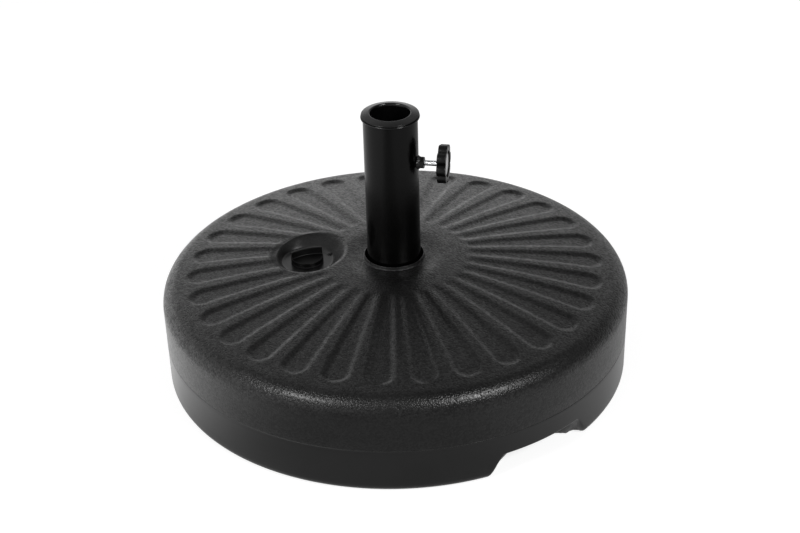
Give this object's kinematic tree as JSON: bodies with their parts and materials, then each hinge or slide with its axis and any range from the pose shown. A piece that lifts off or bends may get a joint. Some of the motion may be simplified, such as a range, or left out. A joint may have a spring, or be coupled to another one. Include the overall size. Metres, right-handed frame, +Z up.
{
  "type": "patio umbrella base",
  "caption": "Round fillable patio umbrella base: fluted ballast tank with screw filler cap, upright steel pole tube with plastic collar, and a side clamp screw with lobed knob.",
  "frame": {"origin": "centre of the underside, at ground level, on the pole axis", "axes": "+Z up along the pole tube, +X towards the clamp knob, -X towards the filler cap"},
  "size_m": [0.4993, 0.4994, 0.3],
  "materials": {
    "tank_plastic": "pebbled black on the crown, smooth satin below the parting line",
    "cap_plastic": "satin black",
    "seal_rubber": "matt black",
    "tube_paint": "satin black powder coat",
    "zinc_steel": "bright zinc plating",
    "collar_plastic": "satin black",
    "knob_plastic": "satin black"
  },
  "bodies": {
    "base": {"tank": "tank_plastic", "pole_tube": "tube_paint", "tube_end_plate": "tube_paint", "end_plate_nut": "zinc_steel", "base_bolt": "zinc_steel", "base_washer": "zinc_steel", "top_collar": "collar_plastic", "pole_seat": "collar_plastic", "clamp_nut": "tube_paint"},
    "knob_cap": {"knob_cap": "knob_plastic"},
    "clamp_knob": {"clamp_knob": "knob_plastic", "clamp_screw": "zinc_steel"},
    "cap_seal": {"cap_seal": "seal_rubber"},
    "filler_cap": {"filler_cap": "cap_plastic"}
  },
  "joints": [
    {"name": "screw_travel", "type": "slide", "parent": "base", "child": "knob_cap", "axis": [1, 0, 0], "range_m": [-0.013, 0.008]},
    {"name": "knob_turn", "type": "hinge", "parent": "knob_cap", "child": "clamp_knob", "pos_m": [0, 0, 0.243], "axis": [1, 0, 0], "range_deg": [-4680, 2880]},
    {"name": "cap_lift", "type": "slide", "parent": "base", "child": "cap_seal", "axis": [0, 0, 1], "range_m": [0, 0.012]},
    {"name": "cap_turn", "type": "hinge", "parent": "cap_seal", "child": "filler_cap", "pos_m": [-0.0958, 0, 0.116], "axis": [0, 0, 1], "range_deg": [0, 1080]}
  ],
  "couplings": [
    {"joint": "screw_travel", "follows": "knob_turn", "m_per_rad": 0.00015915},
    {"joint": "cap_lift", "follows": "cap_turn", "m_per_rad": 0.00063662}
  ]
}
